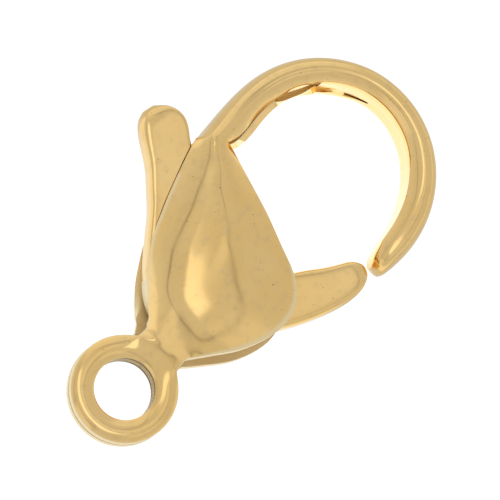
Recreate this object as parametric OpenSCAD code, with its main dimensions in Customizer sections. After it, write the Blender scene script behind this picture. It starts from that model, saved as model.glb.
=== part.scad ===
// Lobster clasp folded from one sheet: two domed shells, a hollow hook and a layered eye, with a
// sprung lever on a hidden pin. X runs from the eye to the hook, Y towards the thumb tab, Z up
// through the front shell. The origin is the middle of the eye's hole. All sizes in millimetres.

/* [Sheet] */
// Thickness of the folded sheet
sheet_t = 0.45; // [0.38:0.01:0.5]
// Thickness of the flanges that close the hook's inner side
flange_t = 0.22; // [0.16:0.01:0.28]

/* [Eye] */
// Diameter of the eye's hole
eye_hole_d = 2; // [1.8:0.1:2.6]
// Width of the metal round the hole
eye_band = 0.75; // [0.6:0.05:0.9]
// Gap between the eye's two layers
eye_gap = 0.12; // [0.06:0.02:0.3]
// Width of the neck between the eye and the shells
neck_w = 1.58; // [1.5:0.02:1.7]
// Length of the neck
neck_l = 0.37; // [0.3:0.01:0.6]

/* [Shells] */
// Distance from the middle of the eye to the middle of the hook
hook_x = 9.6; // [9.2:0.1:10.5]
// How far the shells' belly reaches to the gate side of the long axis
belly_w = 2.35; // [2.1:0.05:2.5]
// Thickness over the two domes
dome_h = 3.14; // [3.1:0.02:3.8]
// Thickness over the shells' rims on the gate side
rim_h = 2.4; // [2.3:0.02:2.6]
// Opening between the shells along the tab side
slot_h = 1.4; // [1.3:0.02:1.6]

/* [Hook] */
// Outer radius of the hook
hook_r_out = 3.74; // [3.6:0.02:3.9]
// Inner radius of the hook
hook_r_in = 2.8; // [2.6:0.02:2.9]
// Thickness of the hook over its band
hook_h = 2.04; // [1.8:0.02:2.1]
// Thickness of the hook at its inner edges
hook_edge_h = 1.46; // [1.3:0.02:1.6]
// Width of the seam between the hook's flanges
seam_w = 0.1; // [0.06:0.02:0.16]

/* [Lever] */
// Thickness of the lever
lever_t = 1.1; // [0.9:0.05:1.2]
// Rounding of the lever's edges
lever_edge_r = 0.22; // [0.1:0.02:0.3]
// Length of the thumb tab's arm from the pin to its end
tab_l = 6; // [5.6:0.05:6.4]
// Radius of the lever's hub round the pin
hub_r = 1.55; // [1.3:0.05:1.6]
// Gap between the gate's tip and the hook's tip
tip_gap = 0.11; // [0.04:0.01:0.2]

/* [Pin and spring] */
// Diameter of the pivot pin
pin_d = 0.7; // [0.6:0.05:0.8]
// Radial clearance of the lever on its pin
pin_clearance = 0.04; // [0.02:0.01:0.06]
// Depth of the pin's seat in each shell
seat_depth = 0.15; // [0.1:0.01:0.2]
// Diameter of the spring's wire
wire_d = 0.18; // [0.14:0.01:0.2]
// Clearance of the spring round the pin and in the lever
wire_clearance = 0.05; // [0.03:0.01:0.08]

/* [Hidden] */
$fn = 48;
gold = [0.86, 0.73, 0.49];
steel = [0.75, 0.75, 0.77];

eye_r = eye_hole_d / 2;
eye_r_out = eye_r + eye_band;
eye_low = eye_gap / 2;
eye_top = eye_low + sheet_t;
neck_x = eye_r_out + neck_l;
shell_l = hook_x - neck_x;

// The pin stands on the ridge of the shells, a little to the tab side of the long axis.
pin_share = 0.238;
pin_at = [neck_x + pin_share * shell_l, 0.127 * hook_r_out];

// Smooth path through the rows of a table, at place s counted in rows.
function clamp(i, n) = max(0, min(n, i));
function through(rows, s) =
    let (n = len(rows) - 1, i = min(floor(s), n - 1), f = s - i,
         a = rows[clamp(i - 1, n)], b = rows[i], c = rows[i + 1], d = rows[clamp(i + 2, n)])
    b + (c - a) * f / 2 + (a - 2.5 * b + 2 * c - d / 2) * f * f
      + (1.5 * b - 1.5 * c + (d - a) / 2) * f * f * f;
function dir(a) = [cos(a), sin(a)];
function along(rows, step) = [for (s = [0 : step : len(rows) - 1]) through(rows, s)];

// The sheet is a run of ribs from the eye to the hook's tip. Each rib crosses the sheet from the
// tab side to the gate side and is a list of:
//  0  tab point
//  1  gate point
//  2  outer skin's heights: top, tab side, gate side
//  3  inner skin's heights likewise
//  4  how far the inner skin is set in on the tab side and on the gate side
//  5  how much further than the front the back reaches on the tab side and on the gate side
//  6  share of its width at which it is highest, share of the band up to the knee beyond which the
//     band is straight, power of the outer curve, angle at which that curve ends
//  7  angle at which the fold begins, height of the seam, size (below 1 where the tip closes)

// Neck, one row for each rib:
//  place           0 at the eye's rim and 1 at the shells, in lengths of the neck
//  half_w          half its width, as a share of half neck_w
//  rise            how far the sheet has risen from the eye, as a share of half rim_h
//  tab_reach, gate_reach  how much further the back reaches, as shares of sheet_t
NECK = [
    // place, half_w, rise, tab_reach, gate_reach
    [-2.85, 0.95, -0.10, 0, 0],
    [-1.90, 1.15, -0.04, 0, 0],
    [-0.95, 1.26, 0.02, 0, 0],
    [-0.32, 1.11, 0.09, 0.20, 0.08],
    [0.30, 1.00, 0.20, 0.50, 0.18],
    [0.68, 1.03, 0.31, 0.62, 0.20],
    [1.05, 1.17, 0.42, 0.72, 0.22],
];
function neck_rib(r) =
    let (x = eye_r_out + r[0] * neck_l, y = r[1] * neck_w / 2, rise = r[2] * rim_h / 2,
         top = eye_top + rise, low = eye_low + max(rise, 0.02), side = 0.6 * low + 0.4 * eye_low)
    [[x, y], [x, -y], [top, side + sheet_t / 2, top], [low, side, low], [0, 0],
     [r[3], r[4]] * sheet_t, [0.5, 1, 1, shell_end_a], [shell_end_a, 0, 1]];

// Shells, one row for each rib:
//  tab_x, gate_x   place past the neck, as a share of shell_l
//  tab_y           distance to the tab side, as a share of hook_r_out
//  gate_y          below zero a share of belly_w, above zero a share of hook_r_in
//  top_at          where the rib is highest, as a share of its width from the tab side
//  knee            share of the way from there to the gate side at which the rib turns straight
//  top, rim        heights of the dome and of the gate-side rim, shares of half dome_h and rim_h
//  tab_reach, gate_reach  how much further the back reaches, as shares of sheet_t
SHELL = [
    // tab_x, tab_y, gate_x, gate_y, top_at, knee, top, rim, tab_reach, gate_reach
    [0.102, 0.442, 0.082, -0.590, 0.46, 0.95, 0.860, 0.93, 0.52, 0.26],
    [0.184, 0.582, 0.162, -0.780, 0.45, 0.95, 0.935, 0.98, 0.20, 0.30],
    [0.273, 0.700, 0.265, -0.930, 0.44, 0.85, 0.975, 1.00, 0.02, 0.28],
    [0.372, 0.778, 0.352, -0.995, 0.43, 0.58, 0.995, 1.00, 0, 0.18],
    [0.452, 0.837, 0.445, -0.966, 0.42, 0.34, 1.000, 1.00, 0, 0],
    [0.519, 0.881, 0.518, -0.810, 0.41, 0.22, 0.985, 1.00, 0, 0],
    [0.586, 0.922, 0.570, -0.587, 0.40, 0.20, 0.955, 0.98, 0, 0],
    [0.646, 0.958, 0.616, -0.247, 0.40, 0.20, 0.905, 0.95, 0, 0],
    [0.690, 0.978, 0.679, 0.160, 0.40, 0.22, 0.848, 0.91, 0, 0.08],
    [0.712, 0.990, 0.732, 0.554, 0.42, 0.32, 0.790, 0.87, 0, 0.25],
    [0.725, 0.995, 0.766, 0.800, 0.45, 0.50, 0.745, 0.84, 0, 0.40],
];
shell_end_a = 45;
function shell_rib(r) =
    let (top = r[6] * dome_h / 2, rim = r[7] * rim_h / 2, slot = slot_h / 2)
    [[neck_x + r[0] * shell_l, r[1] * hook_r_out],
     [neck_x + r[2] * shell_l, r[3] * (r[3] < 0 ? belly_w : hook_r_in)],
     [top, slot, rim], [top - sheet_t, slot, rim - sheet_t], [sheet_t, 0], [r[8], r[9]] * sheet_t,
     [r[4], r[5], 1, shell_end_a], [shell_end_a, 0, 1]];

// Hook, one row for each rib:
//  angle           of its inner end, round the hook's middle from +X
//  lead            how many degrees its outer end is behind
//  out_r, in_r     radii, as shares of hook_r_out and hook_r_in
//  top, rim        heights of the band and of its inner edge, shares of half hook_h, hook_edge_h
//  reach, seam     how much further in the back's edge is, and the seam's height: of sheet_t
//  size            1, and less where the tip closes round
HOOK = [
    // angle, lead, out_r, in_r, top, rim, reach, seam, size
    [118, 0, 1.112, 1.160, 1.18, 1.35, 0.44, 0.5, 1],
    [111, 0, 1.061, 1.040, 1.13, 1.25, 0.58, 0.5, 1],
    [103, 0, 1.023, 1.008, 1.08, 1.15, 0.64, 0.5, 1],
    [92, 0, 1.000, 0.995, 1.04, 1.07, 0.60, 0.5, 1],
    [75, 0, 0.998, 0.985, 1.01, 1.01, 0.42, 0.5, 1],
    [60, 0, 1.000, 0.993, 1.00, 1.00, 0.28, 0, 1],
    [44, 0, 1.001, 1.007, 1.00, 1.00, 0.25, -0.5, 1],
    [24, 0, 1.002, 1.018, 1.00, 1.00, 0.17, -0.9, 1],
    [8, 0, 1.004, 1.025, 1.00, 1.00, 0.04, -0.4, 1],
    [-12, 0, 1.004, 1.017, 1.00, 1.00, 0, 0, 1],
    [-32, 0, 1.002, 1.000, 1.00, 1.00, 0, 0, 1],
    [-52, 0, 1.000, 0.986, 1.00, 1.00, 0, 0, 1],
    [-72, 0, 1.000, 0.980, 1.00, 1.00, 0, 0, 1],
    [-87, 0, 1.002, 0.994, 0.98, 0.98, 0, 0, 1],
    [-97, 0.5, 1.006, 1.024, 0.93, 0.95, 0, 0, 1],
    [-102.6, 1.2, 1.010, 1.062, 0.88, 0.91, 0, 0, 1],
    [-106.6, 2.2, 1.016, 1.100, 0.83, 0.87, 0, 0, 0.96],
    [-109.0, 3.0, 1.024, 1.140, 0.77, 0.81, 0, 0, 0.84],
    [-110.7, 3.6, 1.032, 1.170, 0.71, 0.75, 0, 0, 0.60],
];
// The back has a tongue up to the first angle. The inner side is open between the next two and
// slit between the last two.
tongue_from_a = 115;
open_from_a = 75;
open_to_a = 44;
slit_from_a = 24;
slit_to_a = 8;
fold_a = 34;
band_knee = 0.8;
bow = 0.8;
function hook_rib(r) =
    let (out_a = r[0] + r[1], top = r[4] * hook_h / 2, rim = r[5] * hook_edge_h / 2,
         closed = r[0] <= open_to_a || r[0] >= open_from_a)
    [[hook_x, 0] + r[2] * hook_r_out * dir(out_a), [hook_x, 0] + r[3] * hook_r_in * dir(r[0]),
     [top, 0, rim], [top - sheet_t, 0, rim - sheet_t], [sheet_t, closed ? flange_t : 0],
     [0, r[6]] * sheet_t, [0.5, band_knee, bow, 0], [fold_a, r[7] * sheet_t, r[8]]];

// Rows that lie further apart than this angle get a rib between them.
widest_step_a = 9;
HOOK_STEPS = [for (i = [0 : len(HOOK) - 1], f = [0, 0.5])
    if (f == 0 || (i < len(HOOK) - 1 && HOOK[i][0] - HOOK[i + 1][0] > widest_step_a)) i + f];
HOOK_ROWS = [for (s = HOOK_STEPS) through(HOOK, s)];
FLAT_RIBS = along(concat([for (r = NECK) neck_rib(r)], [for (r = SHELL) shell_rib(r)]), 0.5);
RIBS = concat(FLAT_RIBS, [for (r = HOOK_ROWS) hook_rib(r)]);
fold_rib = len(FLAT_RIBS);
tip_rib = len(RIBS) - 1;
function rib_angle(i) = i < fold_rib ? 180 : HOOK_ROWS[min(i - fold_rib, len(HOOK_ROWS) - 1)][0];

// Columns across half a rib, from the seam: flange, band, outer curve, fold to the middle plane.
FLANGE = 2;
BAND = 5;
CURVE = 5;
FOLD = 2;
HALF = FLANGE + BAND + CURVE + FOLD;
COLUMNS = 2 * HALF + 1;
// Place along the rib and height of a point of one skin. The gate side lies at w. The band falls
// by share g up to its knee, at share k of its width.
function to_power(x, power) = pow(max(x, 0), power);
function on_flange(w, h, lip, low, j) = [w - lip, low + (h[2] - low) * j / FLANGE];
function on_band(w, crest, h, lip, k, j) =
    let (f = 1 - j / BAND, g = k / (2 - k), fall = f <= k ? g * pow(f / k, 2)
         : g + (1 - g) * (f - k) / (1 - k))
    [crest + (w - crest - lip) * f, h[0] - (h[0] - h[2]) * fall];
function on_curve(crest, h, start, fold, power, end, j) =
    let (a = j <= CURVE ? 90 + (fold - 90) * j / CURVE : fold * (1 - (j - CURVE) / FOLD))
    [start + (crest - start) * (1 - to_power(cos(a) / cos(end), power)),
     h[1] + (h[0] - h[1]) * to_power((sin(a) - sin(end)) / (1 - sin(end)), power)];
function skin(rib, inner, j, side) =
    let (width = norm(rib[1] - rib[0]), crest = width * rib[6][0], h = inner ? rib[3] : rib[2],
         set_in = inner ? rib[4] : [0, 0], reach = side > 0 ? [0, 0] : rib[5], w = width + reach[1])
    j < FLANGE ? on_flange(w, h, set_in[1], side * rib[7][1] + seam_w / 2, j)
    : j < FLANGE + BAND ? on_band(w, crest, h, set_in[1], rib[6][1], j - FLANGE)
    : on_curve(crest, h, set_in[0] - reach[0], rib[7][0], rib[6][2], rib[6][3], j - FLANGE - BAND);
function in_space(rib, inner, j) =
    let (side = j <= HALF ? 1 : -1, uz = skin(rib, inner, side > 0 ? j : 2 * HALF - j, side),
         across = rib[1] - rib[0], w = norm(across), size = rib[7][2],
         u = w / 2 + (uz[0] - w / 2) * size, p = rib[0] + across * u / w)
    [p[0], p[1], side * uz[1] * size];
SHEET_POINTS = [for (rib = RIBS, inner = [false, true], j = [0 : COLUMNS - 1])
    in_space(rib, inner, j)];
function at(i, inner, j) = (2 * i + (inner ? 1 : 0)) * COLUMNS + (j + COLUMNS) % COLUMNS;

// Which cells of the sheet hold metal: i counts ribs, j columns, and the last column is the seam.
function has_metal(i, j) =
    let (k = j < HALF ? j : 2 * HALF - 1 - j, a = rib_angle(i), after = rib_angle(i + 1),
         closed = a <= open_to_a && i >= fold_rib, tongue = a < tongue_from_a && after >= open_from_a)
    i < 0 || i >= tip_rib ? false
    : j == 2 * HALF ? closed && (a > slit_from_a || after < slit_to_a)
    : k < FLANGE ? closed || (tongue && j > HALF)
    : k < HALF - FOLD || i >= fold_rib;
function quad(a, b, c, d) = [[a, b, c], [a, c, d]];
function cell_faces(i, j) =
    let (n = j + 1, left = has_metal(i, (j - 1 + COLUMNS) % COLUMNS),
         right = has_metal(i, n % COLUMNS), before = has_metal(i - 1, j),
         after = has_metal(i + 1, j), end = i == tip_rib - 1)
    concat(
        quad(at(i, false, j), at(i, false, n), at(i + 1, false, n), at(i + 1, false, j)),
        end ? [] : quad(at(i, true, j), at(i + 1, true, j), at(i + 1, true, n), at(i, true, n)),
        left ? [] : quad(at(i, false, j), at(i + 1, false, j), at(i + 1, true, j), at(i, true, j)),
        right ? [] : quad(at(i, false, n), at(i, true, n), at(i + 1, true, n), at(i + 1, false, n)),
        before ? [] : quad(at(i, false, j), at(i, true, j), at(i, true, n), at(i, false, n)),
        after || end ? []
            : quad(at(i + 1, false, j), at(i + 1, false, n), at(i + 1, true, n), at(i + 1, true, j)));
// The tip is closed by a wall between its last two ribs, a fan from the middle of the fold.
function tip_faces(i, inner) = [for (j = [HALF + 1 : HALF + COLUMNS - 2])
    let (a = at(i, inner, j % COLUMNS), b = at(i, inner, (j + 1) % COLUMNS))
    [at(i, inner, HALF), inner ? b : a, inner ? a : b]];
SHEET_FACES = concat(
    [for (i = [0 : tip_rib - 1], j = [0 : COLUMNS - 1]) if (has_metal(i, j)) each cell_faces(i, j)],
    tip_faces(tip_rib, false), tip_faces(tip_rib - 1, true));

// Height of the eye's face at share f of its width from the hole: it is highest at EYE_CREST.
EYE_CREST = 0.45;
EYE_STEPS = 6;
function eye_face(f) = eye_top - sheet_t * (f < EYE_CREST
    ? 0.24 * pow(1 - f / EYE_CREST, 2) : 0.3 * pow((f - EYE_CREST) / (1 - EYE_CREST), 2.4));
module eye_layer() {
    rotate_extrude()
        polygon(concat([[eye_r_out, eye_low], [0.5 * eye_r, eye_low], [0.5 * eye_r, eye_face(0)]],
            [for (k = [0 : EYE_STEPS]) [eye_r + eye_band * k / EYE_STEPS, eye_face(k / EYE_STEPS)]]));
}

// The pin's ends stand in seats that are sunk into both shells from inside.
seat_clearance = 0.02;
shell_over_pin = dome_h / 2 * lookup(pin_share, [for (r = SHELL) [r[0], r[6]]]);
seat_h = shell_over_pin - sheet_t + seat_depth;

module frame() {
    color(gold) difference() {
        union() {
            polyhedron(SHEET_POINTS, SHEET_FACES, convexity = 10);
            eye_layer();
            mirror([0, 0, 1]) eye_layer();
        }
        cylinder(r = eye_r, h = rim_h, center = true);
        translate(pin_at) cylinder(r = pin_d / 2 + seat_clearance, h = 2 * seat_h, center = true);
    }
}

module pivot_pin() {
    color(steel) translate(pin_at)
        cylinder(r = pin_d / 2, h = 2 * (seat_h - seat_clearance), center = true);
}

// Lever, one row for each rib from the thumb tab's end to the gate's tip, measured from the pin:
//  out_x, out_y    point on its outer side, towards the shells' tab side and belly
//  in_x, in_y      point on its inner side, towards the hook's opening
//  thick           share of the lever's thickness
// The tab's rows are shares of tab_l, those in the slot shares of the way from the pin to the
// slot's end, the hub's shares of hub_r and the gate's shares of gate_l.
TAB = [
    // out_x, out_y, in_x, in_y, thick
    [0.540, 0.838, 0.597, 0.824, 0.50],
    [0.488, 0.824, 0.635, 0.779, 0.90],
    [0.445, 0.783, 0.656, 0.726, 1.00],
    [0.399, 0.721, 0.656, 0.661, 1.00],
    [0.330, 0.624, 0.622, 0.601, 1.00],
];
SLOT = [
    [0.377, 0.964, 0.950, 1.010, 1],
    [0.256, 0.835, 0.824, 0.806, 1],
    [0.010, 0.635, 0.632, 0.530, 1],
];
HUB = [
    [-0.632, 0.800, 1.032, 0.465, 1],
    [-0.955, 0.303, 0.903, 0.013, 1],
    [-0.980, -0.243, 0.903, -0.307, 1],
    [-0.645, -0.761, 0.981, -0.565, 1],
];
GATE = [
    [-0.018, -0.364, 0.332, -0.238, 1.00],
    [0.148, -0.482, 0.440, -0.324, 1.00],
    [0.277, -0.565, 0.520, -0.378, 1.00],
    [0.421, -0.634, 0.598, -0.441, 1.00],
    [0.564, -0.684, 0.673, -0.492, 1.00],
    [0.665, -0.692, 0.738, -0.533, 1.00],
    [0.726, -0.674, 0.771, -0.588, 0.92],
    [0.756, -0.655, 0.774, -0.624, 0.60],
];
slot_end = [neck_x + SHELL[len(SHELL) - 1][0] * shell_l, hook_r_out];
// The gate is as long as the way from the pin to the near corner of the hook's tip lets it be.
TIP = HOOK[len(HOOK) - 1];
tip_r = TIP[3] * hook_r_in + (TIP[2] * hook_r_out - TIP[3] * hook_r_in) / 2 * (1 - TIP[8]);
gate_l = norm([hook_x, 0] + tip_r * dir(TIP[0]) - pin_at) - tip_gap;
function lever_rib(r, size) =
    [[r[0] * size[0], r[1] * size[1]], [r[2] * size[0], r[3] * size[1]], r[4]];
LEVER_RIBS = along(concat(
    [for (r = TAB) lever_rib(r, [tab_l, tab_l])],
    [for (r = SLOT) lever_rib(r, slot_end - pin_at)],
    [for (r = HUB) lever_rib(r, [hub_r, hub_r])],
    [for (r = GATE) lever_rib(r, [gate_l, gate_l])]), 0.5);

// A rib's section is a rectangle with rounded corners: 0 and 3 are on the outer side, 0 and 1 in
// front. Each corner has EDGE_STEPS steps.
EDGE_STEPS = 3;
SIDES = 4 * (EDGE_STEPS + 1);
function lever_point(rib, corner, k) =
    let (across = rib[1] - rib[0], w = norm(across), t = lever_t / 2 * rib[2],
         e = min(lever_edge_r, 0.4 * w, 0.8 * t),
         a = 90 * (corner % 2 == 0 ? k : EDGE_STEPS - k) / EDGE_STEPS,
         in = e * (1 - cos(a)), u = corner == 0 || corner == 3 ? in : w - in,
         p = rib[0] + across * u / w)
    [p[0], p[1], (corner < 2 ? 1 : -1) * (t - e + e * sin(a))];
LEVER_POINTS = [for (rib = LEVER_RIBS, corner = [0 : 3], k = [0 : EDGE_STEPS])
    lever_point(rib, corner, k)];
lever_last = (len(LEVER_RIBS) - 1) * SIDES;
LEVER_FACES = concat(
    [for (a = [0 : SIDES : lever_last - 1], s = [0 : SIDES - 1])
        let (n = (s + 1) % SIDES, b = a + SIDES) each quad(a + s, a + n, b + n, b + s)],
    [for (s = [0 : SIDES / 2 - 2])
        let (o = SIDES - 1 - s, e = lever_last)
        each concat(quad(s, o, o - 1, s + 1), quad(e + s, e + s + 1, e + o - 1, e + o))]);

// Spring round the pin: its fixed leg lies towards the neck and its moving leg in the gate's arm.
wire_r = wire_d / 2;
coil_r = pin_d / 2 + wire_clearance + wire_r;
coil_pitch = 1.08 * wire_d;
fixed_leg_a = 190;
fixed_leg_l = 1.75;
moving_leg_a = 3 * 360 - 43;
moving_leg_l = 1.3;
// A leg leaves the coil along its tangent.
quarter_a = 90;
coil_from_a = fixed_leg_a + quarter_a;
coil_to_a = moving_leg_a - quarter_a;
coil_h = coil_pitch * (coil_to_a - coil_from_a) / 360;
pocket_h = coil_h + wire_d + 2 * wire_clearance;
// The lever turns the fixed leg's room past it by this angle as it opens.
leg_room_a = 48;
leg_side = (coil_r + wire_r + wire_clearance) * dir(coil_from_a);

module lever() {
    color(gold) translate(pin_at) difference() {
        polyhedron(LEVER_POINTS, LEVER_FACES, convexity = 6);
        cylinder(r = pin_d / 2 + pin_clearance, h = 2 * lever_t, center = true);
        cylinder(r = coil_r + wire_r + wire_clearance, h = pocket_h, center = true);
        // The fixed leg stays where it is while the hub turns round it.
        linear_extrude(pocket_h, center = true)
            polygon([[0, 0], leg_side, leg_side + 2 * hub_r * dir(fixed_leg_a),
                2 * hub_r * dir(fixed_leg_a - leg_room_a)]);
        rotate(moving_leg_a)
            translate([0, -coil_r - wire_r - wire_clearance, -pocket_h / 2])
                cube([moving_leg_l + wire_clearance, wire_d + 2 * wire_clearance, pocket_h]);
    }
}

WIRE_SIDES = 8;
WIRE_STEPS = 26;
leg_rise = 0.5 * wire_d;
function on_coil(s) =
    let (a = coil_from_a + (coil_to_a - coil_from_a) * s)
    [coil_r * cos(a), coil_r * sin(a), coil_h * (s - 0.5)];
function leg_end(s, a, l, rise) = on_coil(s) + [l * cos(a), l * sin(a), rise];
WIRE = concat([leg_end(0, fixed_leg_a, fixed_leg_l, leg_rise)],
    [for (k = [0 : WIRE_STEPS]) on_coil(k / WIRE_STEPS)],
    [leg_end(1, moving_leg_a, moving_leg_l, 0)]);
wire_last = len(WIRE) - 1;
function wire_ring(i) =
    let (d = WIRE[min(i + 1, wire_last)] - WIRE[max(i - 1, 0)], t = d / norm(d),
         n = [-t[1], t[0], 0] / norm([t[0], t[1]]), b = cross(t, n))
    [for (k = [0 : WIRE_SIDES - 1]) let (a = 360 * k / WIRE_SIDES)
        WIRE[i] + wire_r * (n * cos(a) + b * sin(a))];
module spring() {
    m = WIRE_SIDES;
    end = wire_last * m;
    color(steel) translate(pin_at) polyhedron(
        [for (i = [0 : wire_last]) each wire_ring(i)],
        concat([for (a = [0 : m : end - 1], k = [0 : m - 1])
                let (n = (k + 1) % m) each quad(a + k, a + m + k, a + m + n, a + n)],
            [for (k = [1 : m - 2]) each [[0, k, k + 1], [end, end + k + 1, end + k]]]),
        convexity = 6);
}

frame();
lever();
pivot_pin();
spring();
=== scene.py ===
"""Lobster clasp in polished gold plate: a folded sheet frame, a lever and a torsion spring on a pin.

Lengths are in millimetres until a mesh is finished. X runs from the eye to the hook, Y towards the
thumb tab, Z up through the front shell.
"""

import math
from collections import Counter, namedtuple

import bpy
import numpy as np
from mathutils import Matrix, Vector


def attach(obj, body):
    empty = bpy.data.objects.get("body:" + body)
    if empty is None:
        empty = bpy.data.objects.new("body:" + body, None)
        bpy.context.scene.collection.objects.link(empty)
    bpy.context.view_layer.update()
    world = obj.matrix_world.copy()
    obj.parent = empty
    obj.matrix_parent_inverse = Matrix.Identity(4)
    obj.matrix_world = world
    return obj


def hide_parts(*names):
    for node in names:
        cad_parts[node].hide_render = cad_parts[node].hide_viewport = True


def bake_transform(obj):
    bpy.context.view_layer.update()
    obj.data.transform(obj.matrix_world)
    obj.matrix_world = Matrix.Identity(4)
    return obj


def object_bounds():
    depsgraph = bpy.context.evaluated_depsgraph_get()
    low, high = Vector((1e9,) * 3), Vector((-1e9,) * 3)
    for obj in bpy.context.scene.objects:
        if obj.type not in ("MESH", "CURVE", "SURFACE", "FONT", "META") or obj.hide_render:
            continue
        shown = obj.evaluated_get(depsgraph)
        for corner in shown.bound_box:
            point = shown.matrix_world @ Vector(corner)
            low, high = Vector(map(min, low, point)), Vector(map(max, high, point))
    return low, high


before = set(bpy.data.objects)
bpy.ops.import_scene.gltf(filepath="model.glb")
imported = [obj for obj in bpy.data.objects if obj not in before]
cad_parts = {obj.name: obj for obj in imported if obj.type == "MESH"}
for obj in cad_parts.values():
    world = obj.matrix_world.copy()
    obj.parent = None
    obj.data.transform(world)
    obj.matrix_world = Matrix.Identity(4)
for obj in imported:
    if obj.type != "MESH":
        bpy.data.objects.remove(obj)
cad_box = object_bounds()

MM = 0.001

# Sizes shared by the pieces

SHEET_T = 0.45
FLANGE_T = 0.22
EYE_R = 1.0
EYE_R_OUT = 1.75
EYE_LOW = 0.06
EYE_TOP = EYE_LOW + SHEET_T
NECK_HALF_W = 0.79
NECK_L = 0.37
NECK_X = EYE_R_OUT + NECK_L
HOOK_X = 9.6
SHELL_L = HOOK_X - NECK_X
BELLY_W = 2.35
DOME_Z = 1.57
RIM_Z = 1.2
SLOT_Z = 0.7
HOOK_R_OUT = 3.74
HOOK_R_IN = 2.8
HOOK_Z = 1.02
HOOK_EDGE_Z = 0.73
SEAM_Z = 0.05
PIN_AT = np.array([NECK_X + 0.238 * SHELL_L, 0.127 * HOOK_R_OUT])


def through(rows, s):
    """The point at place s, counted in rows, on the smooth path through the rows of a table."""
    rows = np.asarray(rows, float)
    last = len(rows) - 1
    i = min(int(s), last - 1)
    f = s - i
    a, b, c, d = rows[max(i - 1, 0)], rows[i], rows[i + 1], rows[min(i + 2, last)]
    return (
        b
        + (c - a) * f / 2
        + (a - 2.5 * b + 2 * c - d / 2) * f**2
        + (1.5 * b - 1.5 * c + (d - a) / 2) * f**3
    )


def doubled(rows):
    """The rows of a table with one more half way between each two."""
    return [through(rows, k / 2) for k in range(2 * len(rows) - 1)]


def ramp(value, low, high):
    """0 up to low, 1 from high on and straight in between."""
    return min(max((value - low) / (high - low), 0), 1)


# The folded sheet

# Angle at which the curve of the neck's and the shells' ribs ends.
SHELL_END = 45
# A rib crosses the sheet from the tab side to the gate side and is highest at share top_at of its
# width. out_ and in_ are the heights of the outer and inner skins at the top, on the tab side and on
# the gate side. The reaches say how much further than the front the back goes on each side, wall how
# far the inner skin is set in on the tab side, and lip how far on the gate side. The band bows as
# far as share knee of its width and then runs straight. The curve over the tab side is squarer for a
# power below 1 and ends at angle end, and the fold begins at angle fold. seam is the seam's height,
# and size shrinks the rib where the tip closes.
Rib = namedtuple(
    "Rib",
    "tab_x tab_y gate_x gate_y top_at out_top out_tab out_gate in_top in_tab in_gate"
    " tab_reach gate_reach wall lip knee power end fold seam size",
    defaults=(0, 0, 1, 1, SHELL_END, SHELL_END, 0, 1),
)

# place along the neck, half width, rise of the sheet, reach of the back on both sides: shares
NECK = [
    (0.30, 1.00, 0.20, 0.50, 0.18),
    (0.68, 1.03, 0.30, 0.62, 0.20),
    (1.05, 1.17, 0.39, 0.72, 0.22),
]
# How much of the sheet's rise the neck's tab side follows.
NECK_SIDE_RISE = 0.6

# tab_x, tab_y, gate_x, gate_y, top_at, knee, top, rim, reach of the back on both sides: shares
SHELL = [
    (0.102, 0.442, 0.082, -0.590, 0.46, 0.95, 0.860, 0.93, 0.52, 0.26),
    (0.184, 0.582, 0.162, -0.780, 0.45, 0.95, 0.935, 0.98, 0.20, 0.30),
    (0.273, 0.700, 0.265, -0.930, 0.44, 0.85, 0.975, 1.00, 0.02, 0.28),
    (0.372, 0.778, 0.352, -0.995, 0.43, 0.58, 0.995, 1.00, 0, 0.18),
    (0.452, 0.837, 0.445, -0.966, 0.42, 0.34, 1.000, 1.00, 0, 0),
    (0.519, 0.881, 0.518, -0.810, 0.41, 0.22, 0.985, 1.00, 0, 0),
    (0.586, 0.922, 0.570, -0.587, 0.40, 0.20, 0.955, 0.98, 0, 0),
    (0.646, 0.958, 0.616, -0.247, 0.40, 0.20, 0.905, 0.95, 0, 0),
    (0.690, 0.978, 0.679, 0.160, 0.40, 0.22, 0.855, 0.91, 0, 0.08),
    (0.712, 0.990, 0.732, 0.554, 0.43, 0.35, 0.808, 0.87, 0, 0.25),
    (0.725, 0.995, 0.766, 0.800, 0.46, 0.55, 0.780, 0.84, 0, 0.40),
]

# angle of the inner end round the hook's middle and how far the outer end is behind it, in degrees,
# then as shares: outer radius, inner radius, top, rim, reach of the back, seam, size
HOOK = [
    (118, 0, 1.112, 1.160, 1.18, 1.35, 0.44, 0.5, 1),
    (111, 0, 1.061, 1.040, 1.13, 1.25, 0.58, 0.5, 1),
    (103, 0, 1.023, 1.008, 1.08, 1.15, 0.64, 0.5, 1),
    (92, 0, 1.000, 0.995, 1.04, 1.07, 0.60, 0.5, 1),
    (75, 0, 0.998, 0.985, 1.01, 1.01, 0.42, 0.5, 1),
    (60, 0, 1.000, 0.993, 1.00, 1.00, 0.28, 0, 1),
    (44, 0, 1.001, 1.007, 1.00, 1.00, 0.25, -0.5, 1),
    (24, 0, 1.002, 1.018, 1.00, 1.00, 0.17, -0.9, 1),
    (8, 0, 1.004, 1.025, 1.00, 1.00, 0.04, -0.4, 1),
    (-12, 0, 1.004, 1.017, 1.00, 1.00, 0, 0, 1),
    (-32, 0, 1.002, 1.000, 1.00, 1.00, 0, 0, 1),
    (-52, 0, 1.000, 0.986, 1.00, 1.00, 0, 0, 1),
    (-72, 0, 1.000, 0.980, 1.00, 1.00, 0, 0, 1),
    (-87, 0, 1.002, 0.994, 0.98, 0.98, 0, 0, 1),
    (-97, 0.5, 1.006, 1.024, 0.93, 0.95, 0, 0, 1),
    (-102.6, 1.2, 1.010, 1.062, 0.88, 0.91, 0, 0, 1),
    (-106.6, 2.2, 1.016, 1.100, 0.83, 0.87, 0, 0, 0.96),
    (-109.0, 3.0, 1.024, 1.140, 0.77, 0.81, 0, 0, 0.84),
    (-110.7, 3.6, 1.032, 1.170, 0.71, 0.75, 0, 0, 0.60),
]
# The angle that counts for the ribs before the hook, above all of the hook's.
BEFORE_HOOK = 180
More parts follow.
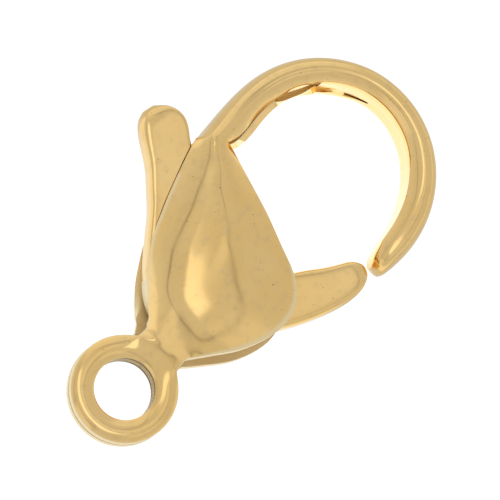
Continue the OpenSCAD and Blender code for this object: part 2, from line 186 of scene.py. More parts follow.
# Angles round the hook. The back has a tongue between the first two. The inner side is open from
# there to the third, and slit between the last two.
TONGUE_FROM, OPEN_FROM, OPEN_TO, SLIT_FROM, SLIT_TO = 115, 75, 44, 24, 8
# Rows that lie further apart than this angle get a rib between them.
WIDEST_STEP = 9
FOLD_ANGLE, BAND_KNEE, HOOK_POWER = 34, 0.8, 0.8
# How far the inner skin may be set in towards the crest of a narrow rib.
WALL_TO_CREST = 0.94

# Columns across half a rib, from the seam: flange, band, outer curve, fold to the middle plane.
FLANGE, BAND, CURVE, FOLD = 2, 5, 5, 2
HALF = FLANGE + BAND + CURVE + FOLD
COLUMNS = 2 * HALF + 1


def neck_rib(row):
    place, half, rise, tab_reach, gate_reach = row
    x, y, rise = EYE_R_OUT + place * NECK_L, half * NECK_HALF_W, rise * RIM_Z
    low, top = EYE_LOW + rise, EYE_TOP + rise
    side = EYE_LOW + NECK_SIDE_RISE * rise
    heights = (top, side + SHEET_T / 2, top, low, side, low)
    return Rib(x, y, x, -y, 0.5, *heights, tab_reach * SHEET_T, gate_reach * SHEET_T)


def shell_rib(row):
    tab_x, tab_y, gate_x, gate_y, top_at, knee, top, rim, tab_reach, gate_reach = row
    top, rim = top * DOME_Z, rim * RIM_Z
    gate_y *= BELLY_W if gate_y < 0 else HOOK_R_IN
    ends = (NECK_X + tab_x * SHELL_L, tab_y * HOOK_R_OUT, NECK_X + gate_x * SHELL_L, gate_y)
    heights = (top, SLOT_Z, rim, top - SHEET_T, SLOT_Z, rim - SHEET_T)
    reaches = (tab_reach * SHEET_T, gate_reach * SHEET_T)
    return Rib(*ends, top_at, *heights, *reaches, wall=SHEET_T, knee=knee)


def hook_rib(row):
    angle, lead, out_r, in_r, top, rim, reach, seam, size = row
    a, out_a = math.radians(angle), math.radians(angle + lead)
    out_r, in_r, top, rim = out_r * HOOK_R_OUT, in_r * HOOK_R_IN, top * HOOK_Z, rim * HOOK_EDGE_Z
    ends = (
        HOOK_X + out_r * math.cos(out_a),
        out_r * math.sin(out_a),
        HOOK_X + in_r * math.cos(a),
        in_r * math.sin(a),
    )
    heights = (top, 0, rim, top - SHEET_T, 0, rim - SHEET_T)
    return Rib(
        *ends,
        0.5,
        *heights,
        0,
        reach * SHEET_T,
        wall=SHEET_T,
        lip=FLANGE_T if angle <= OPEN_TO or angle >= OPEN_FROM else 0,
        knee=BAND_KNEE,
        power=HOOK_POWER,
        end=0,
        fold=FOLD_ANGLE,
        seam=seam * SHEET_T,
        size=size,
    )


def hook_rows():
    rows = []
    for i, row in enumerate(HOOK):
        rows.append(np.array(row, float))
        if i < len(HOOK) - 1 and row[0] - HOOK[i + 1][0] > WIDEST_STEP:
            rows.append(through(HOOK, i + 0.5))
    return rows


def fall(f, knee):
    """How far the band has come down at share f of its width, from 0 at its crest to 1."""
    at_knee = knee / (2 - knee)
    if f <= knee:
        return at_knee * (f / knee) ** 2
    return at_knee + (1 - at_knee) * (f - knee) / (1 - knee)


def skin(rib, inner, j, side):
    """Place along the rib from the tab side, and height, of column j of half a rib."""
    end_at = math.hypot(rib.gate_x - rib.tab_x, rib.gate_y - rib.tab_y)
    crest = end_at * rib.top_at
    if inner:
        top, tab, gate = rib.in_top, rib.in_tab, rib.in_gate
        start = min(rib.wall, WALL_TO_CREST * crest)
        end_at -= rib.lip
    else:
        top, tab, gate = rib.out_top, rib.out_tab, rib.out_gate
        start = 0
    if side < 0:
        start -= rib.tab_reach
        end_at += rib.gate_reach
    if j < FLANGE:
        low = side * rib.seam + SEAM_Z
        return end_at, low + (gate - low) * j / FLANGE
    if j < FLANGE + BAND:
        f = 1 - (j - FLANGE) / BAND
        return crest + (end_at - crest) * f, top - (top - gate) * fall(f, rib.knee)
    k = j - FLANGE - BAND
    angle = 90 + (rib.fold - 90) * k / CURVE if k <= CURVE else rib.fold * (1 - (k - CURVE) / FOLD)
    a, end = math.radians(angle), math.radians(rib.end)
    along_x = max(math.cos(a) / math.cos(end), 0) ** rib.power
    along_z = max((math.sin(a) - math.sin(end)) / (1 - math.sin(end)), 0) ** rib.power
    return start + (crest - start) * (1 - along_x), tab + (top - tab) * along_z


def in_space(rib, inner, j):
    side = 1 if j <= HALF else -1
    u, z = skin(rib, inner, j if side > 0 else 2 * HALF - j, side)
    tab = np.array([rib.tab_x, rib.tab_y])
    across = np.array([rib.gate_x, rib.gate_y]) - tab
    width = np.linalg.norm(across)
    u = width / 2 + (u - width / 2) * rib.size
    x, y = tab + across * u / width
    return x, y, side * z * rib.size


class Sheet:
    """A sheet of metal as cells of two skins, closed by walls wherever a cell has no neighbour."""

    def __init__(self):
        self.outer, self.inner, self.cells, self.caps = [], [], [], []

    def point(self, outer, inner):
        self.outer.append(outer)
        self.inner.append(inner)
        return len(self.outer) - 1

    def edges(self):
        """How many cells and caps share each edge."""
        edges = Counter()
        for cell in self.cells + self.caps:
            edges.update(frozenset(e) for e in zip(cell, cell[1:] + cell[:1]))
        return edges

    def faces(self):
        n = len(self.outer)
        edges = self.edges()
        faces = list(self.cells) + list(self.caps)
        faces += [tuple(n + v for v in reversed(c)) for c in self.cells + self.caps]
        for cell in self.cells:
            for a, b in zip(cell, cell[1:] + cell[:1]):
                if edges[frozenset((a, b))] == 1:
                    faces.append((b, a, n + a, n + b))
        return faces

    def points(self):
        return self.outer + self.inner


def wound(cell, side):
    return cell if side > 0 else tuple(reversed(cell))


# Rings of the eye from its hole outwards, as shares of the band's width, and how far each lies
# below the eye's top, as a share of the sheet's thickness.
EYE_RINGS = [
    (0, 0.27),
    (0.09, 0.16),
    (0.25, 0.06),
    (0.45, 0),
    (0.70, 0.015),
    (0.87, 0.12),
    (1, 0.32),
]
RIM_STEPS = 30
NECK_COLUMNS = BAND + CURVE
# Half the angle that the neck takes up of the eye's rim, which is a little more than its width asks.
NECK_ANGLE = math.asin(1.06 * NECK_HALF_W / EYE_R_OUT)
# The eye rises towards the neck, by LOW_LIFT of NECK_LIFT underneath. The rise grows outwards with
# a power of the ring's share, and fades between the angles NECK_FADE, which are shares of NECK_ANGLE.
NECK_LIFT, LOW_LIFT, LIFT_POWER = 0.17, 0.8, 2.2
NECK_FADE = (0.5, 1.6)
# Shares of the band's width between which the eye's rounded rim gives way to the neck's flat top.
RIM_BLEND = (0.32, 0.72)


def eye_angles():
    """Angles round the eye: first across the neck from the gate side, then round the rim."""
    neck = [-NECK_ANGLE + 2 * NECK_ANGLE * k / NECK_COLUMNS for k in range(NECK_COLUMNS)]
    rest = 2 * (math.pi - NECK_ANGLE)
    return neck + [NECK_ANGLE + rest * k / RIM_STEPS for k in range(RIM_STEPS)]


def neck_share(angle):
    """1 in the middle of the neck, falling to 0 a little past its sides."""
    a = abs((angle + math.pi) % (2 * math.pi) - math.pi)
    f = 1 - ramp(a / NECK_ANGLE, *NECK_FADE)
    return f * f * (3 - 2 * f)


def add_eye(sheet, side):
    """Adds one layer of the eye and returns the points of its outer ring across the neck."""
    angles = eye_angles()
    rings = []
    for share, drop in EYE_RINGS:
        r = EYE_R + share * (EYE_R_OUT - EYE_R)
        ring = []
        for a in angles:
            neck = neck_share(a)
            lift = NECK_LIFT * neck * share**LIFT_POWER
            blend = neck * ramp(share, *RIM_BLEND)
            top = EYE_TOP + lift - SHEET_T * drop * (1 - blend)
            low = EYE_LOW + LOW_LIFT * lift
            x, y = r * math.cos(a), r * math.sin(a)
            ring.append(sheet.point((x, y, side * top), (x, y, side * low)))
        rings.append(ring)
    n = len(angles)
    for inner, outer in zip(rings, rings[1:]):
        for k in range(n):
            m = (k + 1) % n
            sheet.cells.append(wound((inner[k], outer[k], outer[m], inner[m]), side))
    return rings[-1][: NECK_COLUMNS + 1]


def join_eye(sheet, first):
    """Adds the eye's two layers and joins them to the points of the neck's first rib."""
    last = 2 * HALF - FLANGE
    front = first[FLANGE : FLANGE + NECK_COLUMNS + 1]
    back = first[last - NECK_COLUMNS : last + 1][::-1]
    for side, across in ((1, front), (-1, back)):
        arc = add_eye(sheet, side)
        for k in range(NECK_COLUMNS):
            sheet.cells.append(wound((arc[k], across[k], across[k + 1], arc[k + 1]), side))


def has_metal(angle, after, j):
    """Whether the cell at column j between ribs at these angles round the hook holds metal."""
    k = j if j < HALF else 2 * HALF - 1 - j
    closed = angle <= OPEN_TO
    if j == 2 * HALF:
        return closed and (angle > SLIT_FROM or after < SLIT_TO)
    if k < FLANGE:
        return closed or (angle < TONGUE_FROM and after >= OPEN_FROM and j > HALF)
    return k < HALF - FOLD or angle < BEFORE_HOOK


def add_ribs(sheet):
    """Adds the neck, the shells and the hook and returns the points of each rib."""
    flat = doubled([neck_rib(r) for r in NECK] + [shell_rib(r) for r in SHELL])
    rows = hook_rows()
    ribs = [Rib(*r) for r in flat] + [hook_rib(r) for r in rows]
    angles = [BEFORE_HOOK] * len(flat) + [r[0] for r in rows]
    ids = [
        [sheet.point(in_space(rib, False, j), in_space(rib, True, j)) for j in range(COLUMNS)]
        for rib in ribs
    ]
    for i in range(len(ribs) - 1):
        for j in range(COLUMNS):
            if has_metal(angles[i], angles[i + 1], j):
                n = (j + 1) % COLUMNS
                sheet.cells.append((ids[i][j], ids[i + 1][j], ids[i + 1][n], ids[i][n]))
    return ids


def close_tip(sheet, end):
    """Closes the hook's tip. Its flanges stand upright, so they share one face with the band."""
    near = FLANGE + 1
    front, back = end[: near + 1], end[-near - 1 :]
    sheet.caps.append((front[0], *reversed(back), *reversed(front[1:])))
    for j in range(near, HALF):
        o = 2 * HALF - j
        opposite = (end[o],) if j == HALF - 1 else (end[o], end[o - 1])
        sheet.caps.append((end[j], *opposite, end[j + 1]))


def frame_sheet():
    sheet = Sheet()
    ids = add_ribs(sheet)
    join_eye(sheet, ids[0])
    close_tip(sheet, ids[-1])
    return sheet


# How dull the plating is, 0 on the polished skin, and how far its colour turns to a paler one: a
# painted highlight along the cut edges of the shells and of the eye, painted light inside the shells
# and inside the hook.
CUT_EDGE, SHELL_INSIDE, HOOK_INSIDE = 0.75, 1.0, 0.68
# The cut edges that count lie outside this circle round the eye's middle and below this x, which is
# a little past the hook's start.
CUT_FROM_R = 1.3 * EYE_R
CUT_TO_X = HOOK_X - HOOK_R_OUT + 0.6


def skin_values(sheet):
    """The plating's dullness and painted pale light at each point of the sheet."""
    free = {v for edge, count in sheet.edges().items() if count == 1 for v in edge}
    values = []
    for v, (x, y, _) in enumerate(sheet.outer):
        cut = v in free and math.hypot(x, y) > CUT_FROM_R and x < CUT_TO_X
        values.append(CUT_EDGE if cut else 0.0)
    return values + [SHELL_INSIDE if x < CUT_TO_X else HOOK_INSIDE for x, _, _ in sheet.inner]


# The lever

# out_x, out_y, in_x, in_y, thickness, width of the rounded edge outside and inside. The tab's rows
# are shares of TAB_L, the slot's of the way to the slot's end, the hub's of HUB_R and the gate's
# of its own length.
TAB_L, HUB_R, LEVER_Z = 6.0, 1.55, 0.55
TAB = [
    (0.540, 0.838, 0.597, 0.824, 0.50, 0.30, 0.30),
    (0.488, 0.824, 0.635, 0.779, 0.90, 0.34, 0.16),
    (0.445, 0.783, 0.656, 0.726, 1.00, 0.28, 0.08),
    (0.399, 0.721, 0.656, 0.661, 1.00, 0.22, 0.06),
    (0.330, 0.624, 0.622, 0.601, 1.00, 0.20, 0.06),
]
SLOT = [
    (0.377, 0.964, 0.950, 1.010, 1, 0.20, 0.06),
    (0.256, 0.835, 0.824, 0.806, 1, 0.20, 0.08),
    (0.010, 0.635, 0.632, 0.530, 1, 0.20, 0.10),
]
HUB = [
    (-0.632, 0.800, 1.032, 0.465, 1, 0.2, 0.1),
    (-0.955, 0.303, 0.903, 0.013, 1, 0.2, 0.1),
    (-0.980, -0.243, 0.903, -0.307, 1, 0.2, 0.1),
    (-0.645, -0.761, 0.981, -0.565, 1, 0.2, 0.1),
]
GATE = [
    (-0.018, -0.364, 0.332, -0.238, 0.96, 0.2, 0.14),
    (0.148, -0.482, 0.440, -0.324, 0.96, 0.2, 0.16),
    (0.277, -0.565, 0.520, -0.378, 0.98, 0.2, 0.18),
    (0.421, -0.634, 0.598, -0.441, 1.00, 0.2, 0.18),
    (0.564, -0.684, 0.673, -0.492, 1.00, 0.2, 0.18),
    (0.665, -0.692, 0.738, -0.533, 1.00, 0.2, 0.16),
    (0.726, -0.674, 0.771, -0.588, 0.92, 0.18, 0.12),
    (0.756, -0.655, 0.774, -0.624, 0.60, 0.12, 0.08),
]
TIP_GAP = 0.11
EDGE_STEPS = 3
# The widest a rounded edge may be, as a share of the section's width, and the deepest, as a share
# of half its thickness.
WIDEST_EDGE, DEEPEST_EDGE = 0.42, 0.8
# The lever's metal within this of the pin is dull, and its colour is the paler one of painted light.
HUB_DULL_PAINTED_PALE_R = 1.7


def gate_length():
    """From the pin to just short of the near corner of the hook's tip."""
    angle, _, out_r, in_r, _, _, _, _, size = HOOK[-1]
    r = in_r * HOOK_R_IN + (out_r * HOOK_R_OUT - in_r * HOOK_R_IN) / 2 * (1 - size)
    a = math.radians(angle)
    return math.hypot(HOOK_X + r * math.cos(a) - PIN_AT[0], r * math.sin(a) - PIN_AT[1]) - TIP_GAP


def lever_rows():
    slot_end = np.array([NECK_X + SHELL[-1][0] * SHELL_L, HOOK_R_OUT]) - PIN_AT
    gate = gate_length()
    rows = []
    for table, size in (
        (TAB, (TAB_L, TAB_L)),
        (SLOT, slot_end),
        (HUB, (HUB_R, HUB_R)),
        (GATE, (gate, gate)),
    ):
        rows += [
            (r[0] * size[0], r[1] * size[1], r[2] * size[0], r[3] * size[1], *r[4:]) for r in table
        ]
    return doubled(rows)


def lever_ring(row):
    """The closed section of the lever at one row: a flat face in front and behind, and rounded
    edges between them and the sides."""
    out, inn = row[:2] + PIN_AT, row[2:4] + PIN_AT
    width = np.linalg.norm(inn - out)
    half = LEVER_Z * row[4]
    ring = []
    for corner in range(4):
        outside, front = corner in (0, 3), corner < 2
        e = min(row[5] if outside else row[6], WIDEST_EDGE * width)
        drop = min(e, DEEPEST_EDGE * half)
        steps = range(EDGE_STEPS + 1)
        for k in steps if corner % 2 == 0 else reversed(steps):
            a = math.radians(90 * k / EDGE_STEPS)
            u = e * (1 - math.cos(a))
            u = u if outside else width - u
            x, y = out + (inn - out) * u / width
            z = half - drop + drop * math.sin(a)
            ring.append((x, y, z if front else -z))
    return ring


def lever_mesh():
    rings = [lever_ring(r) for r in lever_rows()]
    n = len(rings[0])
    points = [p for ring in rings for p in ring]
    faces = []
    for i in range(len(rings) - 1):
        a, b = i * n, (i + 1) * n
        faces += [(b + s, b + (s + 1) % n, a + (s + 1) % n, a + s) for s in range(n)]
    last = (len(rings) - 1) * n
    for s in range(n // 2 - 1):
        o = n - 1 - s
        faces.append((s + 1, o - 1, o, s))
        faces.append((last + o, last + o - 1, last + s + 1, last + s))
    return points, faces


# The spring

PIN_R, WIRE_R, WIRE_GAP = 0.35, 0.09, 0.05
COIL_R = PIN_R + WIRE_GAP + WIRE_R
# Rise of one turn, in thicknesses of the wire.
TURN_RISE = 1.08
# Each leg's direction in degrees, counted on through the coil's turns, and its length.
FIXED_LEG = (190, 1.75)
MOVING_LEG = (3 * 360 - 43, 1.3)
WIRE_STEPS, WIRE_SIDES = 72, 12


def spring_path():
    start, end = FIXED_LEG[0] + 90, MOVING_LEG[0] - 90
    height = TURN_RISE * 2 * WIRE_R * (end - start) / 360
    coil = []
    for k in range(WIRE_STEPS + 1):
        s = k / WIRE_STEPS
        a = math.radians(start + (end - start) * s)
        coil.append((COIL_R * math.cos(a), COIL_R * math.sin(a), height * (s - 0.5)))

    def leg(point, angle, length, rise):
        a = math.radians(angle)
        return np.array(point) + (length * math.cos(a), length * math.sin(a), rise)

    path = [leg(coil[0], *FIXED_LEG, WIRE_R)] + coil + [leg(coil[-1], *MOVING_LEG, 0)]
    return [np.array(p) + (*PIN_AT, 0) for p in path]


def tube(path, radius, sides):
    points, faces = [], []
    for i, p in enumerate(path):
        t = path[min(i + 1, len(path) - 1)] - path[max(i - 1, 0)]
        t = t / np.linalg.norm(t)
        n = np.array([-t[1], t[0], 0])
        n /= np.linalg.norm(n)
        b = np.cross(t, n)
        for k in range(sides):
            a = 2 * math.pi * k / sides
            points.append(p + radius * (n * math.cos(a) + b * math.sin(a)))
    for i in range(len(path) - 1):
        a, b = i * sides, (i + 1) * sides
        faces += [(a + k, a + (k + 1) % sides, b + (k + 1) % sides, b + k) for k in range(sides)]
    faces.append(tuple(reversed(range(sides))))
    faces.append(tuple(range(len(points) - sides, len(points))))
    return points, faces


# Meshes in Blender

# Limit of the bevel on edges that turn by more than SHARP_ANGLE degrees. The narrowest cells keep
# it far smaller, so what it does is hold these edges crisp when the mesh is subdivided.
BEVEL_LIMIT, SHARP_ANGLE = 0.06, 45


def new_object(name, points, faces, inside=()):
    """inside says for each point how dull the plating is there and how far its colour turns to
    painted pale light.
    """
    mesh = bpy.data.meshes.new(name)
    mesh.from_pydata([tuple(map(float, p)) for p in points], [], faces)
    if len(inside):
        mesh.attributes.new("inside", "FLOAT", "POINT").data.foreach_set("value", inside)
    mesh.validate()
    obj = bpy.data.objects.new(name, mesh)
    bpy.context.scene.collection.objects.link(obj)
    return obj


def finished(obj, bevel=0, levels=2):
    """Keeps sharp edges crisp, subdivides, and turns the result into a smooth mesh in metres."""
    if bevel:
        m = obj.modifiers.new("edges", "BEVEL")
        m.width, m.segments, m.limit_method = bevel, 2, "ANGLE"
        m.angle_limit = math.radians(SHARP_ANGLE)
        m.use_clamp_overlap = True
    if levels:
        m = obj.modifiers.new("smooth", "SUBSURF")
        m.levels = m.render_levels = levels
    bpy.context.view_layer.update()
    mesh = bpy.data.meshes.new_from_object(obj.evaluated_get(bpy.context.evaluated_depsgraph_get()))
    old = obj.data
    obj.modifiers.clear()
    obj.data = mesh
    mesh.name = obj.name
    bpy.data.meshes.remove(old)
    mesh.transform(Matrix.Scale(MM, 4))
    mesh.polygons.foreach_set("use_smooth", [True] * len(mesh.polygons))
    mesh.update()
    return obj


# Materials


class Nodes:
    """Short calls for the nodes of one material or world."""

    def __init__(self, tree):
        self.tree = tree

    def add(self, kind, **settings):
        node = self.tree.nodes.new(kind)
        for key, value in settings.items():
            setattr(node, key, value)
        return node

    def put(self, socket, value):
        if isinstance(value, bpy.types.NodeSocket):
            self.tree.links.new(value, socket)
        else:
            socket.default_value = value

    def math(self, operation, a, b=0.0):
        node = self.add("ShaderNodeMath", operation=operation)
        self.put(node.inputs[0], a)
        self.put(node.inputs[1], b)
        return node.outputs[0]

    def measure(self, operation, vector, other):
        """The dot product or the distance of a vector and a constant one."""
        node = self.add("ShaderNodeVectorMath", operation=operation)
        self.put(node.inputs[0], vector)
        node.inputs[1].default_value = other
        return node.outputs["Value"]

    def dot(self, vector, axis):
        return self.measure("DOT_PRODUCT", vector, axis)

    def distance(self, vector, point):
        return self.measure("DISTANCE", vector, point)

    def smooth(self, value, low, high, to_low=0.0, to_high=1.0):
        node = self.add("ShaderNodeMapRange", interpolation_type="SMOOTHSTEP")
        self.put(node.inputs["Value"], value)
        limits = {"From Min": low, "From Max": high, "To Min": to_low, "To Max": to_high}
        for name, limit in limits.items():
            node.inputs[name].default_value = limit
        return node.outputs["Result"]

    def noise(self, vector, per_mm, detail):
        node = self.add("ShaderNodeTexNoise")
        self.put(node.inputs["Vector"], vector)
        node.inputs["Scale"].default_value = per_mm / MM
        node.inputs["Detail"].default_value = detail
        return node.outputs["Fac"]

    def patches(self, vector, per_mm, detail, low, high, to_low=0.0, to_high=1.0):
        """Smooth noise that goes from to_low to to_high between two of its values."""
        return self.smooth(self.noise(vector, per_mm, detail), low, high, to_low, to_high)

    def mix(self, share, a, b):
        """Two colours mixed. Sockets 6, 7 and the output 2 are the mix node's colour ones."""
        node = self.add("ShaderNodeMix", data_type="RGBA")
        self.put(node.inputs["Factor"], share)
        self.put(node.inputs[6], a)
        self.put(node.inputs[7], b)
        return node.outputs[2]


def new_material(name):
    """A material with its nodes and its shader."""
    mat = bpy.data.materials.new(name)
    mat.use_nodes = True
    return mat, Nodes(mat.node_tree), mat.node_tree.nodes["Principled BSDF"]


GOLD, GOLD_WARM = (0.93, 0.655, 0.28, 1), (0.92, 0.625, 0.243, 1)
GOLD_DULL, GOLD_DARK = (0.84, 0.59, 0.26, 1), (0.50, 0.34, 0.15, 1)
# A paler gold for the cut edges, the insides and the lever's hub: painted light, brighter than the
# plating shows there.
GOLD_INSIDE_PAINTED_LIGHT = (0.93, 0.79, 0.49, 1)
GOLD_SPECULAR = (1.0, 0.98, 0.9, 1)
# Noise in the plating: features to the millimetre, detail, and the values it fades between.
CLOUDS = (0.45, 3, 0.35, 0.65)
PITS = (8, 1, 0.755, 0.785)
MOTTLE = (3.5, 4, 0.48, 0.75)
POLISH = (1.1, 4, 0.3, 0.7)
GOLD_ROUGHNESS = (0.09, 0.15)
# Values of the mesh's "inside" between which the plating turns dull and its colour turns to the paler
# one of painted light, how much rougher it gets and how metallic it stays.
INSIDE_RANGE = (0.45, 0.95)
INSIDE_ROUGHER, INSIDE_METALLIC = 0.35, 0.45
# The plating's faint waves: to the millimetre, detail, and their depth in millimetres.
WAVES, WAVE_DEPTH = (0.5, 1), 0.035


def gold_plate():
    """Polished plating: a little cloudy in colour and shine, faintly wavy, with a few tiny pits;
    dull, with painted pale light, inside and on cut edges.
    """
    mat, n, shader = new_material("gold_plate")
    where = n.add("ShaderNodeTexCoord").outputs["Object"]
    colour = n.mix(n.patches(where, *CLOUDS), GOLD, GOLD_WARM)
    colour = n.mix(n.patches(where, *MOTTLE), colour, GOLD_DULL)
    colour = n.mix(n.patches(where, *PITS), colour, GOLD_DARK)
    inside = n.add("ShaderNodeAttribute", attribute_name="inside").outputs["Fac"]
    # Where the inside value is high the colour is painted pale light, and the plating is rougher and
    # less metallic.
    inner = n.smooth(inside, *INSIDE_RANGE)
    n.put(shader.inputs["Base Color"], n.mix(inner, colour, GOLD_INSIDE_PAINTED_LIGHT))
    polish = n.patches(where, *POLISH, *GOLD_ROUGHNESS)
    rougher = n.math("MULTIPLY", inner, INSIDE_ROUGHER)
    n.put(shader.inputs["Roughness"], n.math("ADD", polish, rougher))
    n.put(shader.inputs["Metallic"], n.smooth(inner, 0, 1, 1.0, INSIDE_METALLIC))
    shader.inputs["Specular Tint"].default_value = GOLD_SPECULAR
    bump = n.add("ShaderNodeBump")
    bump.inputs["Strength"].default_value = 1.0
    bump.inputs["Distance"].default_value = WAVE_DEPTH * MM
    n.put(bump.inputs["Height"], n.noise(where, *WAVES))
    n.put(shader.inputs["Normal"], bump.outputs["Normal"])
    return mat


STEEL_DARK, STEEL_LIGHT = (0.52, 0.52, 0.54, 1), (0.68, 0.68, 0.70, 1)
STREAKS, STREAK_RANGE = (3, 4), (0.3, 0.7)
STEEL_ROUGHNESS = (0.2, 0.34)


def steel():
    """Drawn wire and pin: bright, with fine streaks."""
    mat, n, shader = new_material("bright_steel")
    where = n.add("ShaderNodeTexCoord").outputs["Object"]
    streaks = n.noise(where, *STREAKS)
    n.put(shader.inputs["Base Color"], n.mix(streaks, STEEL_DARK, STEEL_LIGHT))
    n.put(shader.inputs["Roughness"], n.smooth(streaks, *STREAK_RANGE, *STEEL_ROUGHNESS))
    shader.inputs["Metallic"].default_value = 1.0
    return mat


def paint(obj, mat):
    obj.data.materials.clear()
    obj.data.materials.append(mat)


# Camera

IMAGE = 500
PX_PER_MM = 31.55
# Where the middle of the eye lies in the photo.
EYE_PX = (122.4, 390.8)
# The directions of the photo's right and up in the clasp's own frame.
RIGHT = Vector((0.6536, -0.7306, 0.1972)).normalized()
UP = Vector((0.7163, 0.6809, 0.1533)).normalized()
CAM_DISTANCE, CAM_NEAR, CAM_FAR = 0.5, 0.05, 5
SENSOR = 36.0


def add_camera():
    data = bpy.data.cameras.new("camera")
    data.sensor_width = SENSOR
    data.lens = SENSOR * CAM_DISTANCE / (IMAGE / PX_PER_MM * MM)
    data.clip_start, data.clip_end = CAM_NEAR, CAM_FAR
    cam = bpy.data.objects.new("camera", data)
    bpy.context.scene.collection.objects.link(cam)
    toward = RIGHT.cross(UP).normalized()
    up = toward.cross(RIGHT)
    middle = IMAGE / 2
    aim = (RIGHT * (middle - EYE_PX[0]) - up * (middle - EYE_PX[1])) / PX_PER_MM * MM
    turn = Matrix((RIGHT, up, toward)).transposed().to_4x4()
    cam.matrix_world = Matrix.Translation(aim + toward * CAM_DISTANCE) @ turn
    bpy.context.scene.camera = cam


# Floor

# Half the floor's width in metres, and its brightness as the camera sees it.
FLOOR_HALF, FLOOR_WHITE = 1, 1.1
# What the gold sees of the floor, with painted light and shade: bright, painted duller beyond the
# outside of the hook, a painted pool of light FLOOR_GLOW brighter in the hook's opening, and painted
# shade under the eye's hole.
FLOOR_BRIGHT, FLOOR_DULL, FLOOR_GLOW, FLOOR_SHADE = 1.0, 0.70, 0.3, 0.22
# Where these fade: distances from the hook's middle, along x, and from the eye's middle.
GLOW_FADE, OUTSIDE_FADE = (2.5, 3.2), (3.3, 3.9)
BEYOND_FADE = (5.5, 7.5)
SHADE_FADE = (0.7, 1.2)


def metres(lengths):
    return [length * MM for length in lengths]


def add_floor(z):
    """A white light table, evenly bright to the camera, with painted light and shade in what the gold
    reflects of it.
    """
    corners = [(x * FLOOR_HALF, y * FLOOR_HALF, 0) for x, y in ((-1, -1), (1, -1), (1, 1), (-1, 1))]
    floor = new_object("floor", corners, [(0, 1, 2, 3)])
    floor.location.z = z
    mat, n, shader = new_material("floor")
    shader.inputs["Base Color"].default_value = (0, 0, 0, 1)
    shader.inputs["Roughness"].default_value = 1
    shader.inputs["Specular IOR Level"].default_value = 0
    shader.inputs["Emission Color"].default_value = (1, 1, 1, 1)
    place = n.add("ShaderNodeNewGeometry").outputs["Position"]
    from_hook = n.distance(place, (HOOK_X * MM, 0, z))
    from_eye = n.distance(place, (0, 0, z))
    outside = n.smooth(from_hook, *metres(OUTSIDE_FADE))
    beyond = n.smooth(n.dot(place, (1, 0, 0)), *metres(BEYOND_FADE))
    dull = n.math("MULTIPLY", outside, beyond)
    seen = n.smooth(dull, 0, 1, FLOOR_BRIGHT, FLOOR_DULL)
    seen = n.math("ADD", seen, n.smooth(from_hook, *metres(GLOW_FADE), FLOOR_GLOW, 0.0))
    lit = n.smooth(from_eye, *metres(SHADE_FADE), FLOOR_SHADE, 1.0)
    seen = n.math("MULTIPLY", seen, lit)
    # Reflections see the painted light and shade, the camera an even white.
    direct = n.add("ShaderNodeLightPath").outputs["Is Camera Ray"]
    shown = n.math("MULTIPLY", direct, FLOOR_WHITE)
    reflected = n.math("MULTIPLY", n.math("SUBTRACT", 1.0, direct), seen)
    n.put(shader.inputs["Emission Strength"], n.math("ADD", shown, reflected))
    paint(floor, mat)


# Light tent

# Brightness of the tent's wall, top and foot, and how much brighter its lowest rim is.
TENT, TENT_TOP, TENT_FOOT, TENT_RIM = 0.67, 0.69, 0.75, 0.2
# Heights, as sines of the elevation, between which foot turns into wall, wall into top and rim into
# foot.
FOOT_FADE, TOP_FADE, RIM_FADE = (0.15, 0.6), (0.5, 1.0), (0.06, 0.16)
# Panels of the tent, seen from the clasp: azimuth and elevation of the middle, direction in which
# the panel is long, half length and half width as tangents, softness of the edge, brightness, how
# much narrower it is at its far end. A panel with a brightness below zero is darker than the tent.
PANELS = [
    (92, 79, (0.10, 1, 0), 0.38, 0.125, 0.05, 0.55, 0.92),
    (-9, 76, (1, 0, 0), 0.08, 0.08, 0.06, 0.14, 0),
    (48, 32, (0, 0, 1), 0.50, 0.50, 0.30, 0.17, 0),
    (167, 32, (0, 0, 1), 0.30, 0.28, 0.20, 0.15, 0),
    (-90, 65, (1, 0, 0), 0.20, 0.14, 0.12, 0.12, 0),
    (-178, 52, (0, 0, 1), 0.12, 0.12, 0.20, -0.10, 0),
]
# A panel narrows from this place on, as a share of its half length.
TAPER_FROM = -0.1
# Directions beside and behind a panel count as this far ahead, so no division fails.
LEAST_AHEAD = 0.05


def panel(n, direction, row):
    azimuth, elevation, length, half_l, half_w, soft, bright, taper = row
    a, e = math.radians(azimuth), math.radians(elevation)
    middle = Vector((math.cos(e) * math.cos(a), math.cos(e) * math.sin(a), math.sin(e)))
    across = middle.cross(Vector(length)).normalized()
    length = across.cross(middle).normalized()
    ahead = n.math("MAXIMUM", n.dot(direction, middle), LEAST_AHEAD)
    lengthwise = n.math("DIVIDE", n.dot(direction, length), ahead)
    narrow = n.smooth(lengthwise, TAPER_FROM * half_l, half_l, 1.0, 1 - taper)
    crosswise = n.math("DIVIDE", n.math("DIVIDE", n.dot(direction, across), ahead), narrow)
    shares = [
        n.smooth(n.math("ABSOLUTE", place), half - soft / 2, half + soft / 2, 1.0, 0.0)
        for place, half in ((lengthwise, half_l), (crosswise, half_w))
    ]
    return n.math("MULTIPLY", n.math("MULTIPLY", *shares), bright)


# The dark seam that borders the tent's top, in the plane of the directions' x and y.
SEAM_AT, SEAM_HALF = (-0.13, 0.195), (0.475, 0.555)
SEAM_POWER, SEAM_WIDTH, SEAM_DEPTH = 3, 0.045, 0.34


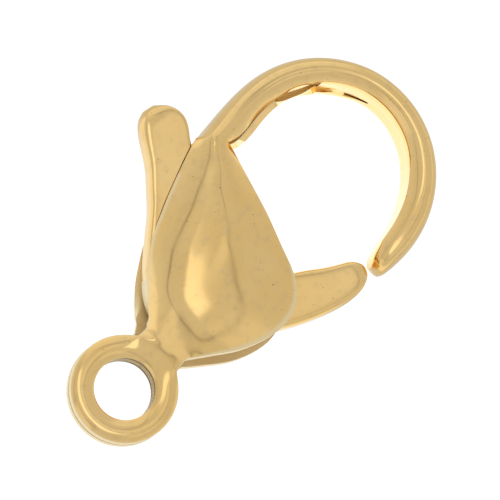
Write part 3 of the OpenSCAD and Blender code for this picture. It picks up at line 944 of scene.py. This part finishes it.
def tent_seam(n, direction):
    """How much darker the tent is at its seam."""
    powers = []
    for axis, middle, half in zip(((1, 0, 0), (0, 1, 0)), SEAM_AT, SEAM_HALF):
        off = n.math("ABSOLUTE", n.math("SUBTRACT", n.dot(direction, axis), middle))
        powers.append(n.math("POWER", n.math("DIVIDE", off, half), SEAM_POWER))
    ring = n.math("POWER", n.math("ADD", *powers), 1 / SEAM_POWER)
    off = n.math("ABSOLUTE", n.math("SUBTRACT", ring, 1.0))
    return n.smooth(off, 0, SEAM_WIDTH, SEAM_DEPTH, 0.0)


def add_world():
    """A white light tent: bright round its foot, soft grey above, with a few brighter panels."""
    world = bpy.data.worlds.new("studio")
    bpy.context.scene.world = world
    world.use_nodes = True
    n = Nodes(world.node_tree)
    direction = n.add("ShaderNodeTexCoord").outputs["Generated"]
    height = n.dot(direction, (0, 0, 1))
    light = n.smooth(height, *FOOT_FADE, TENT_FOOT, TENT)
    light = n.math("ADD", light, n.smooth(height, *TOP_FADE, 0.0, TENT_TOP - TENT))
    light = n.math("ADD", light, n.smooth(height, *RIM_FADE, TENT_RIM, 0.0))
    for row in PANELS:
        light = n.math("ADD", light, panel(n, direction, row))
    light = n.math("SUBTRACT", light, tent_seam(n, direction))
    back = world.node_tree.nodes["Background"]
    back.inputs["Color"].default_value = (1, 1, 1, 1)
    n.put(back.inputs["Strength"], light)


# The scene

gold, bright_steel = gold_plate(), steel()

sheet = frame_sheet()
body = new_object("frame_sheet", sheet.points(), sheet.faces(), skin_values(sheet))
body = finished(body, bevel=BEVEL_LIMIT)
paint(body, gold)
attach(body, "frame")
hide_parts("frame")

arm_points, arm_faces = lever_mesh()
# The hub gets the dull plating and the painted pale light.
hub = [float(math.dist(point[:2], PIN_AT) < HUB_DULL_PAINTED_PALE_R) for point in arm_points]
lever = finished(new_object("lever_arm", arm_points, arm_faces, hub))
paint(lever, gold)
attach(lever, "lever")
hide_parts("lever")

spring = finished(new_object("spring_wire", *tube(spring_path(), WIRE_R, WIRE_SIDES)), levels=0)
paint(spring, bright_steel)
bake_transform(spring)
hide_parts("spring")

paint(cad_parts["pivot_pin"], bright_steel)

add_camera()
add_floor(cad_box[0][2])
add_world()
bpy.context.scene.view_settings.view_transform = "Standard"
